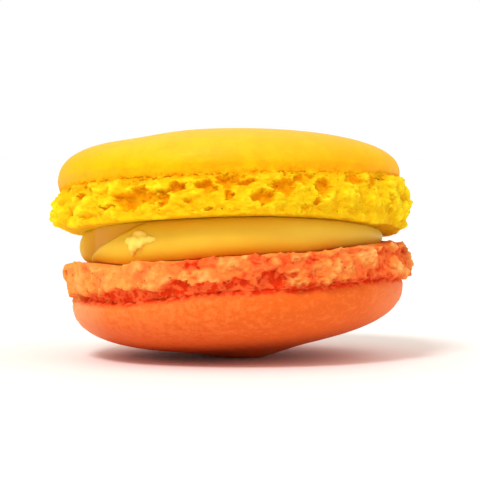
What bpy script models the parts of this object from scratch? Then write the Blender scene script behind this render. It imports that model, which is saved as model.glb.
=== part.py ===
"""Passion fruit macaron: two baked almond shells with a layer of passion fruit cream pressed between them.

Metres, +Z up. It rests on the dome of its lower shell, its front faces -Y, and the cream is thickest at the
front left. Each shell is turned about its own axis from a profile of crown, crust, frilly foot and flat base,
then roughened, and placed with its own small tilt.
"""

import math
import random
from dataclasses import dataclass

import bmesh
import bpy
from mathutils import Matrix, Vector, noise

MM = 0.001

# Gaps that keep the three pieces apart
CLEARANCE = 0.3 * MM
PRESSED_GAP = 0.34 * MM

# Turning and thinning of the shells
TURN_STEPS = 176
DOME_RINGS = 10
FOOT_RINGS = 15
BASE_RINGS = 3
SHELL_TRIANGLES = 6000

# The foot's neck stops at this share of its height, so that the lip's edge overhangs a crease
NECK_SHARE = 0.94
# Heights above this share of the foot belong to the dome
LIP_SHARE = 0.97
# The flat of the base stops at this share of its radius, and the foot's torn side starts at this one
FLAT_SHARE = 0.96
SIDE_SHARE = 0.98

# Relief that both shells have: lumps of the torn foot, its wavy course, and the swells of the crust
BROAD_LUMP = 2.7 * MM
FINE_LUMP = 1.25 * MM
BROAD_DEPTH = 1.5
FINE_DEPTH = 0.8
UPWARD_LUMPS = 0.35
WAVE_DEPTH = 0.3 * MM
WAVES_ROUND = 2.2
SWELL_DEPTH = 0.25 * MM
SWELL_SIZE = 9 * MM


@dataclass
class Hollow:
    """A torn hollow in a foot: where it is, seen from the front, and its size."""

    azimuth_deg: float
    share_up: float
    width: float
    height: float
    depth: float


@dataclass
class Shell:
    """One baked shell. Heights run from its flat base to the crown of its dome."""

    name: str
    # 1 with the dome above the base, -1 with the dome below it
    dome_side: int
    # Radii of the dome's lip, of the crease under it, of the foot at its widest and of the base's edge
    lip_radius: float
    neck_radius: float
    foot_radius: float
    base_radius: float
    # The foot's side is squarer with a smaller fullness, and its lip end leans out towards +X
    foot_fullness: float
    foot_lean: float
    foot_height: float
    # The foot is this much lower than its mean at the front and back, and higher at the sides
    foot_dip: float
    # The base's edge stands this much proud of the flat base at the left and right
    rim_rise: float
    # The dome is flatter on top with a smaller power, and higher towards +X with a positive lean
    dome_height: float
    dome_power: float
    dome_lean: float
    # A low peak on the crown, where the piped batter settled last
    peak_height: float
    peak_radius: float
    peak_offset: float
    place: Vector
    roll_deg: float
    pitch_deg: float
    crag_depth: float
    seed: int
    hollows: list


UPPER = Shell(
    name="upper_shell",
    dome_side=1,
    lip_radius=21.35 * MM,
    neck_radius=20.3 * MM,
    foot_radius=22.3 * MM,
    base_radius=21.0 * MM,
    foot_fullness=0.85,
    foot_lean=0.0,
    foot_height=5.6 * MM,
    foot_dip=0.45 * MM,
    rim_rise=0.0,
    dome_height=6.65 * MM,
    dome_power=0.325,
    dome_lean=0.095,
    peak_height=0.0,
    peak_radius=6.0 * MM,
    peak_offset=0.0,
    place=Vector((0.0, 0.0, 15.45 * MM)),
    roll_deg=0.8,
    pitch_deg=-6.7,
    crag_depth=0.42 * MM,
    seed=4,
    hollows=[
        Hollow(-33, 0.66, 3.2 * MM, 1.8 * MM, 1.5 * MM),
        Hollow(-24, 0.62, 2.2 * MM, 1.8 * MM, 1.3 * MM),
        Hollow(-17, 0.86, 1.6 * MM, 1.0 * MM, 1.2 * MM),
        Hollow(-8, 0.88, 2.2 * MM, 1.1 * MM, 1.4 * MM),
        Hollow(-1, 0.62, 2.0 * MM, 1.1 * MM, 1.2 * MM),
        Hollow(0, 0.93, 2.6 * MM, 1.1 * MM, 1.3 * MM),
        Hollow(6, 0.84, 2.4 * MM, 0.9 * MM, 1.2 * MM),
        Hollow(11, 0.42, 2.5 * MM, 1.7 * MM, 0.9 * MM),
        Hollow(19, 0.74, 2.6 * MM, 1.7 * MM, 1.4 * MM),
        Hollow(26, 0.86, 1.7 * MM, 1.0 * MM, 1.1 * MM),
        Hollow(34, 0.68, 1.7 * MM, 1.5 * MM, 1.2 * MM),
        Hollow(48, 0.86, 2.6 * MM, 1.1 * MM, 1.1 * MM),
    ],
)

LOWER = Shell(
    name="lower_shell",
    dome_side=-1,
    lip_radius=20.5 * MM,
    neck_radius=20.0 * MM,
    foot_radius=21.35 * MM,
    base_radius=21.0 * MM,
    foot_fullness=0.4,
    foot_lean=0.9 * MM,
    foot_height=4.6 * MM,
    foot_dip=0.3 * MM,
    rim_rise=0.45 * MM,
    dome_height=7.2 * MM,
    dome_power=0.345,
    dome_lean=-0.035,
    peak_height=1.1 * MM,
    peak_radius=5.0 * MM,
    peak_offset=1.0 * MM,
    place=Vector((0.55 * MM, 0.0, 12.56 * MM)),
    roll_deg=-3.7,
    pitch_deg=-1.9,
    crag_depth=0.34 * MM,
    seed=11,
    hollows=[
        Hollow(-46, 0.93, 2.4 * MM, 1.1 * MM, 1.4 * MM),
        Hollow(-38, 0.93, 1.8 * MM, 1.1 * MM, 1.2 * MM),
        Hollow(-31, 0.86, 2.6 * MM, 1.3 * MM, 1.5 * MM),
        Hollow(-19, 0.84, 2.6 * MM, 1.3 * MM, 1.6 * MM),
        Hollow(-13, 0.16, 1.5 * MM, 1.5 * MM, 1.1 * MM),
        Hollow(-7, 0.9, 2.4 * MM, 0.8 * MM, 1.1 * MM),
        Hollow(1, 0.9, 2.0 * MM, 0.9 * MM, 1.2 * MM),
        Hollow(8, 0.05, 1.9 * MM, 1.0 * MM, 0.9 * MM),
        Hollow(14, 0.7, 2.4 * MM, 1.5 * MM, 1.5 * MM),
        Hollow(24, 0.12, 2.2 * MM, 1.0 * MM, 0.9 * MM),
        Hollow(21, 0.97, 2.8 * MM, 0.7 * MM, 1.0 * MM),
        Hollow(36, 0.45, 1.0 * MM, 2.6 * MM, 0.8 * MM),
        Hollow(48, 0.9, 2.2 * MM, 0.9 * MM, 1.0 * MM),
        Hollow(58, 0.5, 0.9 * MM, 2.4 * MM, 0.8 * MM),
    ],
)

# Hollows round the sides and back, drawn at random but always the same
FRONT_HALF_DEG = 66
BACK_HOLLOWS = 24

# Passion fruit cream
CREAM_RADIUS = 18.7 * MM
CREAM_THINNEST = 0.45 * MM
CREAM_BULGE_SHARE = 0.085
CREAM_STEPS = 72
CREAM_BULGE_RINGS = 8
CREAM_FACE_RINGS = 4
SMEAR_POINT = Vector((-13.1 * MM, -11.4 * MM, 15.6 * MM))
SMEAR_NORMAL = Vector((-0.62, -0.48, 0.62)).normalized()

# Crumb of cream skin that clings to the front left of the cream
CRUMB_AZIMUTH_DEG = -36.5
CRUMB_HEIGHT = 14.3 * MM
CRUMB_LOBES = [
    # along the rim, up, radius
    (0.0, 0.0, 0.95 * MM),
    (-0.35 * MM, -0.75 * MM, 0.55 * MM),
    (0.85 * MM, 0.55 * MM, 0.7 * MM),
    (1.6 * MM, 0.85 * MM, 0.5 * MM),
]


def clear_scene():
    for obj in list(bpy.data.objects):
        bpy.data.objects.remove(obj, do_unlink=True)


def new_collection(name):
    collection = bpy.data.collections.new(name)
    bpy.context.scene.collection.children.link(collection)
    return collection


def baked_finish(name, colour, roughness):
    material = bpy.data.materials.new(name)
    material.use_nodes = True
    shader = material.node_tree.nodes["Principled BSDF"]
    shader.inputs["Base Color"].default_value = (*colour, 1.0)
    shader.inputs["Roughness"].default_value = roughness
    shader.inputs["Metallic"].default_value = 0.0
    return material


def azimuth_of(x, y):
    """Degrees from the front (-Y), positive towards +X."""
    return math.degrees(math.atan2(x, -y))


def wrapped(degrees):
    return (degrees + 180) % 360 - 180


def foot_profile_radius(shell, share):
    """The foot swells from its tucked base edge to its widest, and back to the neck under the lip."""
    straight = shell.base_radius + (shell.neck_radius - shell.base_radius) * share
    swell = max(0.0, math.sin(math.pi * share)) ** shell.foot_fullness
    return straight + (shell.foot_radius - straight) * swell


def shell_profile(shell):
    """(radius, height) from the crown down the crust and the foot to the middle of the base."""
    points = []
    for ring in range(DOME_RINGS, -1, -1):
        rise = math.sin(math.pi / 2 * ring / DOME_RINGS)
        radius = shell.lip_radius * math.sqrt(max(0.0, 1 - rise ** (1 / shell.dome_power)))
        points.append((radius, shell.foot_height + shell.dome_height * rise))
    for ring in range(FOOT_RINGS, -1, -1):
        share = ring / FOOT_RINGS
        points.append((foot_profile_radius(shell, share), shell.foot_height * NECK_SHARE * share))
    for ring in range(BASE_RINGS - 1, -1, -1):
        points.append((shell.base_radius * FLAT_SHARE * ring / (BASE_RINGS - 1), 0.0))
    return points


def turned_mesh(name, points, steps):
    """The outline (radius, height), listed top to bottom, turned about Z by a Screw modifier."""
    outline = bpy.data.meshes.new(name)
    vertices = [(radius, 0.0, height) for radius, height in points]
    edges = [(i, i + 1) for i in range(len(points) - 1)]
    outline.from_pydata(vertices, edges, [])
    obj = bpy.data.objects.new(name, outline)
    bpy.context.scene.collection.objects.link(obj)
    screw = obj.modifiers.new("turn", "SCREW")
    screw.axis = "Z"
    screw.steps = screw.render_steps = steps
    screw.use_merge_vertices = True
    screw.merge_threshold = 1e-6
    bpy.context.view_layer.update()
    graph = bpy.context.evaluated_depsgraph_get()
    turned = bpy.data.meshes.new_from_object(obj.evaluated_get(graph))
    bpy.data.objects.remove(obj)
    soup = bmesh.new()
    soup.from_mesh(turned)
    bmesh.ops.remove_doubles(soup, verts=soup.verts, dist=1e-6)
    soup.to_mesh(turned)
    soup.free()
    turned.name = name
    return turned


def hollows_all_round(shell):
    """The hollows that show at the front, and seeded ones of the same sizes round the rest of the foot."""
    draw = random.Random(shell.seed)
    found = list(shell.hollows)
    for _ in range(BACK_HOLLOWS):
        found.append(
            Hollow(
                draw.uniform(FRONT_HALF_DEG, 360 - FRONT_HALF_DEG),
                draw.uniform(0.55, 0.95),
                draw.uniform(1.5, 3.2) * MM,
                draw.uniform(0.9, 1.7) * MM,
                draw.uniform(0.9, 1.6) * MM,
            )
        )
    return found


def crags(shell, point):
    """Lumpy relief of the torn foot, from a broad and a fine layer of noise."""
    place = point + Vector((0.0, 0.0, 40 * MM * shell.seed))
    broad = noise.noise(place / BROAD_LUMP)
    fine = noise.noise(place / FINE_LUMP)
    return shell.crag_depth * (BROAD_DEPTH * broad + FINE_DEPTH * fine)


def hollow_depth(shell, hollows, azimuth, height):
    deepest = 0.0
    for hollow in hollows:
        along = math.radians(wrapped(azimuth - hollow.azimuth_deg)) * shell.foot_radius
        up = height - hollow.share_up * shell.foot_height
        off = (2 * along / hollow.width) ** 2 + (2 * up / hollow.height) ** 2
        if off < 1:
            deepest = max(deepest, hollow.depth * (1 - off * off))
    return deepest


def roughen(shell, mesh):
    """Turns the even, turned form into a baked one: torn foot, uneven lip and a dome that leans."""
    hollows = hollows_all_round(shell)
    for vertex in mesh.vertices:
        x, y, height = vertex.co
        radius = math.hypot(x, y)
        azimuth = azimuth_of(x, y)
        out = Vector((x, y, 0.0)) / radius if radius > 1e-9 else Vector()
        share = min(1.0, height / shell.foot_height)
        side = x / shell.lip_radius
        # The foot is lower at the front and back than at the sides, and its course is wavy
        course = WAVE_DEPTH * noise.noise(out * WAVES_ROUND + Vector((0.0, 0.0, shell.seed)))
        course -= shell.foot_dip * math.cos(2 * math.radians(azimuth))
        if height > shell.foot_height * LIP_SHARE:
            rise = (height - shell.foot_height) / shell.dome_height
            height += course * max(0.0, 1 - rise)
            height += shell.dome_lean * side * rise * shell.dome_height
            from_peak = Vector((x - shell.peak_offset, y)).length / shell.peak_radius
            height += shell.peak_height * math.exp(-from_peak * from_peak)
            swell = noise.noise(vertex.co / SWELL_SIZE + Vector((shell.seed, 0.0, 0.0)))
            vertex.co += out * SWELL_DEPTH * swell * (1 - rise)
        elif radius > SIDE_SHARE * shell.base_radius:
            height += course * share
            fade = min(1.0, 0.3 + 4 * share)
            push = crags(shell, vertex.co) * fade
            push += shell.foot_lean * side * (share - 0.3)
            push -= hollow_depth(shell, hollows, azimuth, height)
            vertex.co += out * push
            above_rim = min(1.0, 6 * share)
            height += UPWARD_LUMPS * above_rim * crags(shell, vertex.co + Vector((0.0, 9 * MM, 0.0)))
            height -= shell.rim_rise * side * side * (1 - share)
        vertex.co.z = shell.dome_side * height


def placing(shell):
    turn = Matrix.Rotation(math.radians(shell.pitch_deg), 4, "X")
    turn = turn @ Matrix.Rotation(math.radians(shell.roll_deg), 4, "Y")
    return Matrix.Translation(shell.place) @ turn


def base_height(shell, x, y):
    """Height of a shell's flat base plane over a point of the table."""
    normal = placing(shell).to_3x3() @ Vector((0.0, 0.0, 1.0))
    across = normal.x * (x - shell.place.x) + normal.y * (y - shell.place.y)
    return shell.place.z - across / normal.z


def press_apart(shell, mesh):
    """Where the two feet meet at the back, each is pressed flat against the plane halfway between them."""
    matrix = placing(shell)
    back = matrix.inverted()
    for vertex in mesh.vertices:
        point = matrix @ vertex.co
        middle = (base_height(UPPER, point.x, point.y) + base_height(LOWER, point.x, point.y)) / 2
        limit = middle + shell.dome_side * PRESSED_GAP / 2
        if shell.dome_side * (point.z - limit) < 0:
            point.z = limit
            vertex.co = back @ point


def thin_out(obj, triangles):
    """Decimate keeps the triangles where the relief is."""
    obj.data.calc_loop_triangles()
    thin = obj.modifiers.new("thin", "DECIMATE")
    thin.decimate_type = "COLLAPSE"
    thin.ratio = min(1.0, triangles / len(obj.data.loop_triangles))
    thin.use_collapse_triangulate = True


def make_shell(shell, parts, finish):
    mesh = turned_mesh(shell.name, shell_profile(shell), TURN_STEPS)
    roughen(shell, mesh)
    if shell.dome_side < 0:
        mesh.flip_normals()
    press_apart(shell, mesh)
    mesh.materials.append(finish)
    obj = bpy.data.objects.new(shell.name, mesh)
    parts.objects.link(obj)
    obj.matrix_world = placing(shell)
    thin_out(obj, SHELL_TRIANGLES)
    mesh.shade_smooth()
    return obj


def cut_resting_spot(shell_obj, cutters):
    """A small flat on the lower dome, level with the table at z = 0."""
    bpy.ops.mesh.primitive_cube_add(size=60 * MM, location=(0.0, 0.0, -30 * MM))
    table = bpy.context.object
    table.name = "table_cutter"
    for collection in list(table.users_collection):
        collection.objects.unlink(table)
    cutters.objects.link(table)
    table.hide_render = True
    table.display_type = "WIRE"
    cut = shell_obj.modifiers.new("resting_spot", "BOOLEAN")
    cut.operation = "DIFFERENCE"
    cut.solver = "EXACT"
    cut.object = table


def cream_faces(x, y):
    """The cream's lower and upper height over a point of the table."""
    low = base_height(LOWER, x, y) + CLEARANCE
    high = base_height(UPPER, x, y) - CLEARANCE
    return low, high


def cream_reach(azimuth):
    """How far the cream spreads. It stops at the back, where the shells pinch it off."""
    angle = math.radians(azimuth)
    out = Vector((math.sin(angle), -math.cos(angle)))
    reach = CREAM_RADIUS + 0.25 * MM * noise.noise(Vector((*out * 1.7, 5.0)))
    while reach > 0:
        low, high = cream_faces(out.x * reach, out.y * reach)
        if high - low >= CREAM_THINNEST:
            break
        reach -= 0.05 * MM
    return reach


def cream_mesh():
    """A disc with a bulging side, turned, then fitted between the two base planes."""
    points = []
    for ring in range(CREAM_FACE_RINGS):
        points.append(((1 - CREAM_BULGE_SHARE) * ring / CREAM_FACE_RINGS, 1.0))
    for ring in range(CREAM_BULGE_RINGS + 1):
        angle = math.pi * ring / CREAM_BULGE_RINGS
        points.append((1 - CREAM_BULGE_SHARE * (1 - math.sin(angle)), math.cos(angle)))
    for ring in range(CREAM_FACE_RINGS - 1, -1, -1):
        points.append(((1 - CREAM_BULGE_SHARE) * ring / CREAM_FACE_RINGS, -1.0))
    mesh = turned_mesh("filling", points, CREAM_STEPS)
    for vertex in mesh.vertices:
        x, y, side = vertex.co
        reach = cream_reach(azimuth_of(x, y))
        x, y = x * reach, y * reach
        low, high = cream_faces(x, y)
        point = Vector((x, y, (low + high) / 2 + side * (high - low) / 2))
        beyond = (point - SMEAR_POINT).dot(SMEAR_NORMAL)
        if beyond > 0:
            point -= SMEAR_NORMAL * beyond
            point.z = min(max(point.z, low), high)
        vertex.co = point
    return mesh


def crumb_lobes(collection):
    """The crumb is four small lumps, half sunk in the side of the cream."""
    angle = math.radians(CRUMB_AZIMUTH_DEG)
    out = Vector((math.sin(angle), -math.cos(angle), 0.0))
    along = Vector((math.cos(angle), math.sin(angle), 0.0))
    reach = cream_reach(CRUMB_AZIMUTH_DEG) - 0.25 * MM
    for number, (side, up, radius) in enumerate(CRUMB_LOBES):
        place = out * reach + along * side + Vector((0.0, 0.0, CRUMB_HEIGHT + up))
        bpy.ops.mesh.primitive_ico_sphere_add(subdivisions=2, radius=radius, location=place)
        lobe = bpy.context.object
        lobe.name = f"crumb_lobe_{number + 1}"
        for vertex in lobe.data.vertices:
            vertex.co *= 1 + 0.3 * noise.noise(vertex.co / (0.5 * MM) + Vector((number, 0.0, 0.0)))
        for old in list(lobe.users_collection):
            old.objects.unlink(lobe)
        collection.objects.link(lobe)


def make_cream(parts, finish):
    mesh = cream_mesh()
    cream = bpy.data.objects.new("filling", mesh)
    parts.objects.link(cream)
    lobes = new_collection("crumb_lobes")
    crumb_lobes(lobes)
    join = cream.modifiers.new("crumb", "BOOLEAN")
    join.operation = "UNION"
    join.operand_type = "COLLECTION"
    join.solver = "EXACT"
    join.collection = lobes
    bpy.context.view_layer.update()
    graph = bpy.context.evaluated_depsgraph_get()
    joined = bpy.data.meshes.new_from_object(cream.evaluated_get(graph))
    cream.modifiers.remove(join)
    cream.data = joined
    for lobe in list(lobes.objects):
        bpy.data.objects.remove(lobe)
    bpy.data.collections.remove(lobes)
    joined.materials.clear()
    joined.materials.append(finish)
    joined.shade_smooth()
    return cream


def main():
    clear_scene()
    parts = new_collection("passion_fruit_macaron")
    cutters = new_collection("cutters")
    cutters.hide_render = True
    lemon = baked_finish("baked_yellow_shell", (0.98, 0.56, 0.01), 0.55)
    orange = baked_finish("baked_orange_shell", (0.95, 0.16, 0.03), 0.65)
    custard = baked_finish("passion_fruit_cream", (0.88, 0.46, 0.05), 0.35)
    make_shell(UPPER, parts, lemon)
    lower = make_shell(LOWER, parts, orange)
    cut_resting_spot(lower, cutters)
    make_cream(parts, custard)


main()
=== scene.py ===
import math
import random
from functools import partial

import bmesh
import bpy
import numpy as np
from mathutils import Matrix, Vector, noise


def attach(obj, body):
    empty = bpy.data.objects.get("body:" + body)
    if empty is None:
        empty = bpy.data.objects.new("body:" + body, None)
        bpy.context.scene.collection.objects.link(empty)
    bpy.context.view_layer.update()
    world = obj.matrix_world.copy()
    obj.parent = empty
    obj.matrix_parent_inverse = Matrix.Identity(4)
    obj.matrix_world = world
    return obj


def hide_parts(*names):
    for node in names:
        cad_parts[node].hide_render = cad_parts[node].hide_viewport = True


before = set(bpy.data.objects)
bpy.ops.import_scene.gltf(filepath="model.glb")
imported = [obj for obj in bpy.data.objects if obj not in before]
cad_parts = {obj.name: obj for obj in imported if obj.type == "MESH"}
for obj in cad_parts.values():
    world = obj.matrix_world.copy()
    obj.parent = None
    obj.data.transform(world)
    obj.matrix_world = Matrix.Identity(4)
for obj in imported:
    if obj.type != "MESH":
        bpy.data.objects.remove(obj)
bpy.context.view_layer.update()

# Lower shell
# A baked almond meringue shell, piped as a round, dried to a skin and baked, then turned upside down. Its
# skin is a matt orange crust, and the foot that burst out under the skin is torn foam. It stands on the crown
# of its dome.
MM = 0.001
TO_MM = (1000, 1000, 1000)
TURN_STEPS = 720
DOME_ROWS = 60
LIP_ROWS = 6
FOOT_ROWS = 54
BASE_ROWS = 9
SHOULDER_ROWS = 5
# The crust is torn by this share at its edge, and what belongs to the edge fades out over this height
LIP_TORN = 0.7
LIP_REACH = 1.6 * MM
# The foot starts at this share of its height, in the crease under the crust's edge
NECK_SHARE = 0.95
# The base is flat up to the first of these shares of its radius, slopes to the second, and bends down to its
# rim
FLAT_SHARE = 0.675
SHELF_SHARE = 0.9
# How far the edges of the hollows stray, and what stays open between the two feet where they meet
HOLLOW_STRAY = 2.4 * MM
PARTING_GAP = 0.04 * MM

# Hollows torn in the foot: degrees from the front, height above the base, half width, half height and depth
# in mm
LOWER_HOLLOWS = [
    (-58.0, 4.0, 0.65, 0.90, 0.9),
    (-48.0, 4.1, 1.60, 0.90, 1.3),
    (-40.5, 4.1, 1.30, 1.15, 1.4),
    (-33.5, 4.1, 1.30, 1.05, 1.2),
    (-25.5, 4.2, 1.50, 0.55, 1.5),
    (-20.0, 3.5, 1.50, 0.95, 1.3),
    (-14.0, 4.1, 1.00, 0.50, 1.2),
    (-14.0, 0.7, 0.75, 0.75, 0.5),
    (-8.5, 3.8, 1.50, 0.70, 1.0),
    (0.0, 3.8, 1.30, 0.80, 1.2),
    (6.5, 0.3, 0.65, 0.55, 0.5),
    (11.5, 3.3, 1.50, 0.90, 1.5),
    (18.5, 2.5, 0.50, 0.40, 0.6),
    (21.0, 4.4, 2.40, 0.40, 1.0),
    (23.0, 1.2, 1.30, 0.50, 0.3),
    (35.5, 4.4, 2.60, 0.40, 1.0),
    (37.0, 2.0, 0.60, 1.20, 0.3),
    (42.0, 0.4, 2.00, 0.40, 0.4),
    (50.0, 4.3, 1.50, 0.40, 1.0),
    (60.5, 3.5, 0.40, 0.90, 0.4),
    (78.0, 1.7, 1.20, 1.20, 0.3),
]

# How the foot runs round the lower shell: degrees from the front, then in mm, away from the base, how far its
# shelf, its rim and its lip lie off the plain outline, then the share of the height where it is cut back, how
# far it leans out towards the lip in mm, and how lumpy it is
LOWER_COURSE = [
    (-90, -0.30, 0.60, -0.45, 1.10, -0.52, 0.30),
    (-75, -0.30, 0.15, -0.40, 1.05, -0.56, 0.40),
    (-67, -0.30, -0.20, -0.25, 0.90, -0.60, 0.50),
    (-55, 0.05, -0.25, 0.10, 0.79, -0.65, 0.55),
    (-44, 0.48, -0.10, 0.30, 0.77, -0.60, 0.55),
    (-38, 0.25, -0.15, 0.25, 0.77, -0.55, 0.60),
    (-33, 0.15, -0.12, 0.20, 0.77, -0.50, 0.65),
    (-24, 0.08, -0.12, 0.00, 0.78, -0.36, 0.75),
    (-20, 0.08, 0.25, -0.10, 0.80, -0.30, 0.85),
    (-13, 0.08, -0.12, -0.30, 0.82, -0.20, 1.00),
    (-6, -0.15, -0.15, -0.40, 0.82, -0.10, 1.00),
    (-2, -0.10, 0.15, -0.35, 0.84, -0.05, 1.00),
    (5, -0.05, -0.12, -0.20, 0.82, 0.08, 1.00),
    (12, -0.07, 0.05, -0.15, 0.80, 0.20, 1.00),
    (22, 0.02, -0.10, -0.15, 0.90, 0.34, 1.00),
    (29, 0.12, 0.10, -0.20, 0.92, 0.44, 1.00),
    (37, 0.00, -0.25, -0.30, 0.92, 0.54, 1.00),
    (47, -0.22, 0.10, -0.45, 0.93, 0.66, 1.00),
    (59, -0.38, 0.45, -0.50, 0.93, 0.74, 1.00),
    (77, -0.42, 0.45, -0.35, 0.96, 0.68, 1.00),
    (90, -0.35, 0.70, -0.25, 0.96, 0.65, 1.00),
]

SHELL_INPUTS = {
    "NodeSocketObject": ("Outline", "Hollows", "Course"),
    "NodeSocketInt": ("Rows", "Steps"),
    "NodeSocketFloat": (
        "Side", "Seed", "Lip Radius", "Foot Radius", "Foot Height", "Foot Shift", "Rim Wander",
        "Crust Wander", "Lip Wander", "Undercut Depth", "Lobes", "Crack Share", "Broad Lumps",
        "Round Lumps", "Small Lumps", "Hollow Rims", "Hollow Roughness", "Pore Depth", "Tear Depth",
        "Tear Edge", "Tear Low", "Flat Radius", "Shelf Radius", "Base Radius", "Dome Height",
        "Dome Lean", "Peak Height", "Peak Radius", "Peak Offset", "Peak Depth Share", "Crust Swell",
        "Crust Grain", "Parting Height", "Parting Gap"),
    "NodeSocketVector": ("Place", "Tilt", "Parting Slope"),
    "NodeSocketMaterial": ("Finish",),
}


def linear(hex_colour):
    """A #rrggbb sRGB colour as linear RGBA."""
    parts = [int(hex_colour[i:i + 2], 16) / 255 for i in (1, 3, 5)]
    return [c / 12.92 if c <= 0.04045 else ((c + 0.055) / 1.055) ** 2.4 for c in parts] + [1.0]


def add_node(tree, kind, *feeds, named=None, **settings):
    """Adds a node with settings. Feeds are values, sockets or nodes, for its inputs in order or by name."""
    made = tree.nodes.new(kind)
    for setting, value in settings.items():
        setattr(made, setting, value)
    for place, feed in list(enumerate(feeds)) + list((named or {}).items()):
        if isinstance(feed, bpy.types.Node):
            feed = feed.outputs[0]
        if isinstance(feed, bpy.types.NodeSocket):
            tree.links.new(feed, made.inputs[place])
        elif feed is not None:
            made.inputs[place].default_value = feed
    return made


def baked_shell_tree():
    """Turns an outline about Z, tears its foot, roughens its crust, tilts it and presses it on the other."""
    tree = bpy.data.node_groups.new("baked shell", "GeometryNodeTree")
    add = partial(add_node, tree)
    for kind, names in SHELL_INPUTS.items():
        for name in names:
            tree.interface.new_socket(name=name, in_out="INPUT", socket_type=kind)
    tree.interface.new_socket(name="Shell", in_out="OUTPUT", socket_type="NodeSocketGeometry")
    given = add("NodeGroupInput").outputs

    # Turning: one row of the grid for each point of the outline, one column for each step and one more, which
    # closes the turn on the first
    columns = add("FunctionNodeIntegerMath", given["Steps"], 1, operation="ADD")
    grid = add("GeometryNodeMeshGrid", 1.0, 1.0, given["Rows"], columns)
    index = add("GeometryNodeInputIndex")
    row = add("FunctionNodeIntegerMath", index, columns, operation="DIVIDE_FLOOR")
    step = add("FunctionNodeIntegerMath", index, columns, operation="MODULO")
    step = add("FunctionNodeIntegerMath", step, given["Steps"], operation="MODULO")
    outline = add("GeometryNodeObjectInfo", given["Outline"]).outputs["Geometry"]
    course = add("GeometryNodeObjectInfo", given["Course"]).outputs["Geometry"]
    position = add("GeometryNodeInputPosition")
    profile = add("GeometryNodeSampleIndex", outline, position, row, data_type="FLOAT_VECTOR")
    turn = add("ShaderNodeMath", step, given["Steps"], operation="DIVIDE")
    turn = add("ShaderNodeMath", turn, math.tau, operation="MULTIPLY")
    turned = add("ShaderNodeVectorRotate", profile, named={"Angle": turn}, rotation_type="Z_AXIS")
    body = add("GeometryNodeSetPosition", grid, None, turned)
    band = add("GeometryNodeInputNamedAttribute", "band", data_type="FLOAT_VECTOR")
    form = add("GeometryNodeInputNamedAttribute", "form", data_type="FLOAT_VECTOR")
    for name, source, values, at in (("band", outline, band, row), ("edges", course, position, step),
                                     ("form", course, form, step)):
        values = add("GeometryNodeSampleIndex", source, values, at, data_type="FLOAT_VECTOR")
        body = add("GeometryNodeStoreNamedAttribute", body, None, name, values, data_type="FLOAT_VECTOR",
                   domain="POINT")
    body = add("GeometryNodeStoreNamedAttribute", body, None, "turn", turn, data_type="FLOAT", domain="POINT")
    body = add("GeometryNodeMergeByDistance", body, named={"Distance": 1e-6})
    turn = add("GeometryNodeInputNamedAttribute", "turn", data_type="FLOAT")
    edges = add("GeometryNodeInputNamedAttribute", "edges", data_type="FLOAT_VECTOR")
    shelf_lift, rim_lift, lip_lift = add("ShaderNodeSeparateXYZ", edges).outputs
    undercut_from, foot_lean, lumpiness = add("ShaderNodeSeparateXYZ", form).outputs
    torn, rise, lip = add("ShaderNodeSeparateXYZ", band).outputs

    # Places in millimetres, shifted by the seed, and a wandering copy of them. A pattern's scale is one over
    # the size of its cells
    seed_shift = add("ShaderNodeCombineXYZ", 0.0, 0.0, given["Seed"])
    place = add("ShaderNodeVectorMath", position, TO_MM, seed_shift, operation="MULTIPLY_ADD")
    wander = add("ShaderNodeTexNoise", place, named={"Scale": 1 / 1.2, "Detail": 4.0, "Roughness": 0.62})
    wander = add("ShaderNodeVectorMath", wander.outputs["Color"], (0.5, 0.5, 0.5), operation="SUBTRACT")
    wandered = add("ShaderNodeVectorMath", wander, (1.2, 1.2, 1.2), place, operation="MULTIPLY_ADD")

    # Relief of the torn foam: lobes that swell at the ends, broad lumps, round lumps that meet in creases,
    # small ones
    side = add("ShaderNodeSeparateXYZ", position)
    side = add("ShaderNodeMath", side, given["Lip Radius"], operation="DIVIDE")
    side_squared = add("ShaderNodeMath", side, 2.0, operation="POWER")
    bent = add("ShaderNodeVectorMath", wander, (0.7, 0.7, 0.7), place, operation="MULTIPLY_ADD")
    blocks = add("ShaderNodeTexVoronoi", bent, named={"Scale": 1 / 3.0, "Smoothness": 0.25},
                 feature="SMOOTH_F1")
    lobes = add("ShaderNodeMapRange", blocks, 0.3, 0.68, 1.0, -1.0, interpolation_type="SMOOTHSTEP")
    at_ends = add("ShaderNodeMapRange", side_squared, 0.2, 1.0, 0.3, 1.0)
    lobes = add("ShaderNodeMath", lobes, at_ends, operation="MULTIPLY")
    broad = add("ShaderNodeTexNoise", place, named={"Scale": 1 / 2.7, "Detail": 2.0})
    broad = add("ShaderNodeMapRange", broad, 0.25, 0.75, -1.0, 1.0, clamp=False)
    lumps = add("ShaderNodeTexVoronoi", wandered, named={"Scale": 1 / 1.05, "Smoothness": 0.35},
                feature="SMOOTH_F1")
    rounded = add("ShaderNodeMapRange", lumps, 0.1, 0.75, 1.0, -1.0, interpolation_type="SMOOTHSTEP")
    small = add("ShaderNodeTexVoronoi", wandered, named={"Scale": 1 / 0.42, "Smoothness": 0.3},
                feature="SMOOTH_F1")
    small = add("ShaderNodeMapRange", small, 0.1, 0.75, 1.0, -1.0)
    relief = 0.0
    for pattern, size in ((lobes, "Lobes"), (broad, "Broad Lumps"), (rounded, "Round Lumps"),
                          (small, "Small Lumps")):
        relief = add("ShaderNodeMath", pattern, given[size], relief, operation="MULTIPLY_ADD")

    # Pores: bubbles that burst at the surface, a third of the cells have one
    cells = add("ShaderNodeTexVoronoi", place, named={"Scale": 1 / 1.7})
    chance = add("ShaderNodeSeparateXYZ", cells.outputs["Color"])
    size = add("ShaderNodeMapRange", chance, 0.6, 1.0, 0.01, 0.2)
    floor_size = add("ShaderNodeMath", size, 0.45, operation="MULTIPLY")
    pore = add("ShaderNodeMapRange", cells, floor_size, size, 1.0, 0.0, interpolation_type="SMOOTHSTEP")

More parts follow.
